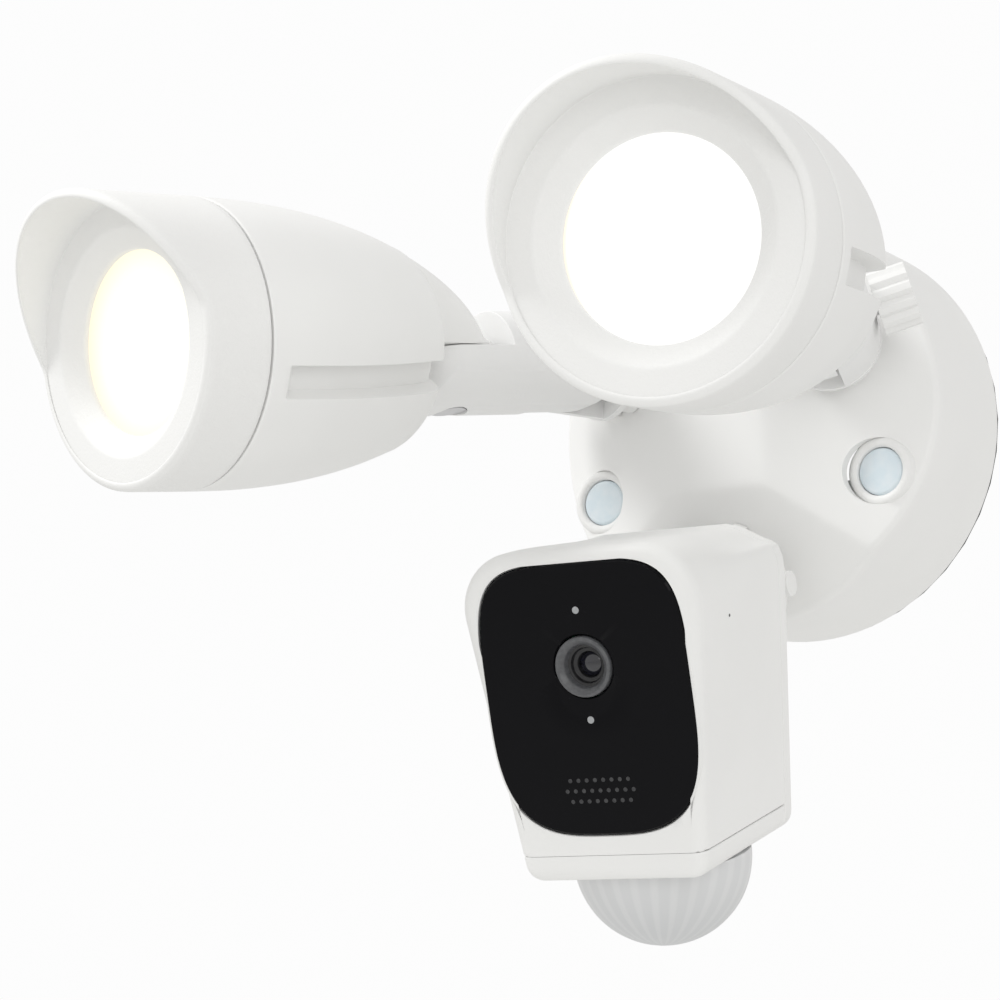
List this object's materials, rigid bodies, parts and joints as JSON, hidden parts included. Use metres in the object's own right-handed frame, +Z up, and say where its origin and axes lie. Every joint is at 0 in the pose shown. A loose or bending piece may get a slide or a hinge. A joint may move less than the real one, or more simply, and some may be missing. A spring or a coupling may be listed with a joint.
{
  "type": "floodlight security camera",
  "caption": "Wall-mounted outdoor security camera with a motion-sensing dome under it and two adjustable bullet-shaped floodlights on jointed arms.",
  "frame": {"origin": "centre of the round canopy's back, on the wall", "axes": "+Z up the wall, -Y straight out from the wall, +X to the right of someone facing the wall"},
  "size_m": [0.2287, 0.2387, 0.2089],
  "materials": {
    "housing_white": "smooth satin white moulded shell",
    "fitting_white": "satin white, fine moulded texture",
    "stem_white": "white powder coat over die-cast metal",
    "steel": "zinc-plated steel",
    "aluminium": "plain aluminium-backed board",
    "front_black": "deep black gloss panel",
    "inner_black": "matt black moulding",
    "rubber": "soft dark sealing rubber",
    "lamp_lens": "frosted diffuser, lit warm from behind",
    "dome_frost": "milky translucent dome with faint facets",
    "plug_blue": "pale bluish translucent plug",
    "circuit_board": "green solder mask",
    "lens_glass": "dark coated optical glass"
  },
  "bodies": {
    "base": {"wall_gasket": "rubber", "canopy": "housing_white", "wall_bracket": "steel", "left_canopy_screw": "steel", "right_canopy_screw": "steel", "left_screw_plug": "plug_blue", "right_screw_plug": "plug_blue", "driver_board": "circuit_board", "terminal_block": "fitting_white"},
    "left_ring": {"left_lock_ring": "fitting_white"},
    "left_stem": {"left_stem": "stem_white", "left_stem_nut": "steel"},
    "left_knob": {"left_knob": "fitting_white"},
    "left_arm": {"left_arm": "stem_white", "left_pan_screw": "steel"},
    "left_lamp": {"left_lamp_housing": "housing_white", "left_bezel_visor": "housing_white", "left_lamp_lens": "lamp_lens", "left_lens_gasket": "rubber", "left_reflector": "fitting_white", "left_led_board": "aluminium"},
    "right_ring": {"right_lock_ring": "fitting_white"},
    "right_stem": {"right_stem": "stem_white", "right_stem_nut": "steel"},
    "right_knob": {"right_knob": "fitting_white"},
    "right_arm": {"right_arm": "stem_white", "right_pan_screw": "steel"},
    "right_lamp": {"right_lamp_housing": "housing_white", "right_bezel_visor": "housing_white", "right_lamp_lens": "lamp_lens", "right_lens_gasket": "rubber", "right_reflector": "fitting_white", "right_led_board": "aluminium"},
    "camera_ring": {"camera_lock_ring": "fitting_white"},
    "camera_stem": {"camera_stem": "stem_white", "camera_stem_nut": "steel", "tilt_bolt": "fitting_white", "tilt_nut": "steel"},
    "camera_unit": {"front_shell": "housing_white", "back_cover": "housing_white", "bottom_cap": "housing_white", "front_glass": "front_black", "lens_ring": "inner_black", "camera_lens": "lens_glass", "light_sensor": "dome_frost", "status_light": "dome_frost", "sensor_board": "circuit_board", "main_board": "circuit_board", "speaker": "inner_black", "motion_dome": "dome_frost", "motion_sensor": "steel"}
  },
  "joints": [
    {"name": "left_ring_turn", "type": "hinge", "parent": "base", "child": "left_ring", "pos_m": [-0.0415, -0.0742, 0.0152], "axis": [-0.3633, -0.9317, 0], "range_deg": [0, 90]},
    {"name": "left_swivel", "type": "hinge", "parent": "base", "child": "left_stem", "pos_m": [-0.0415, -0.0742, 0.0152], "axis": [-0.3633, -0.9317, 0], "range_deg": [-40, 40]},
    {"name": "left_knob_turn", "type": "hinge", "parent": "left_stem", "child": "left_knob", "pos_m": [-0.0415, -0.0742, 0.0152], "axis": [0.9307, -0.3628, 0.0471], "range_deg": [0, 270]},
    {"name": "left_elbow", "type": "hinge", "parent": "left_stem", "child": "left_arm", "pos_m": [-0.0415, -0.0742, 0.0152], "axis": [0.9307, -0.3628, 0.0471], "range_deg": [-40, 15]},
    {"name": "left_pan", "type": "hinge", "parent": "left_arm", "child": "left_lamp", "pos_m": [-0.056, -0.11213, 0.00957], "axis": [-0.0934, -0.1111, 0.9894], "range_deg": [-35, 35]},
    {"name": "right_ring_turn", "type": "hinge", "parent": "base", "child": "right_ring", "pos_m": [0.0415, -0.0742, 0.0152], "axis": [0.3633, -0.9317, 0], "range_deg": [0, 90]},
    {"name": "right_swivel", "type": "hinge", "parent": "base", "child": "right_stem", "pos_m": [0.0415, -0.0742, 0.0152], "axis": [0.3633, -0.9317, 0], "range_deg": [-40, 40]},
    {"name": "right_knob_turn", "type": "hinge", "parent": "right_stem", "child": "right_knob", "pos_m": [0.0415, -0.0742, 0.0152], "axis": [0.8915, 0.3476, 0.2907], "range_deg": [0, 270]},
    {"name": "right_elbow", "type": "hinge", "parent": "right_stem", "child": "right_arm", "pos_m": [0.0415, -0.0742, 0.0152], "axis": [0.8915, 0.3476, 0.2907], "range_deg": [-40, 15]},
    {"name": "right_pan", "type": "hinge", "parent": "right_arm", "child": "right_lamp", "pos_m": [0.0571, -0.11203, 0.0126], "axis": [-0.2462, -0.1671, 0.9547], "range_deg": [-35, 35]},
    {"name": "camera_ring_turn", "type": "hinge", "parent": "base", "child": "camera_ring", "pos_m": [0, -0.0641, -0.0522], "axis": [0, -0.8704, -0.4924], "range_deg": [0, 90]},
    {"name": "camera_swivel", "type": "hinge", "parent": "base", "child": "camera_stem", "pos_m": [0, -0.0641, -0.0522], "axis": [0, -0.8704, -0.4924], "range_deg": [-15, 15]},
    {"name": "camera_tilt", "type": "hinge", "parent": "camera_stem", "child": "camera_unit", "pos_m": [0, -0.0641, -0.0522], "axis": [0.9976, 0.0698, 0], "range_deg": [-12, 25]}
  ]
}
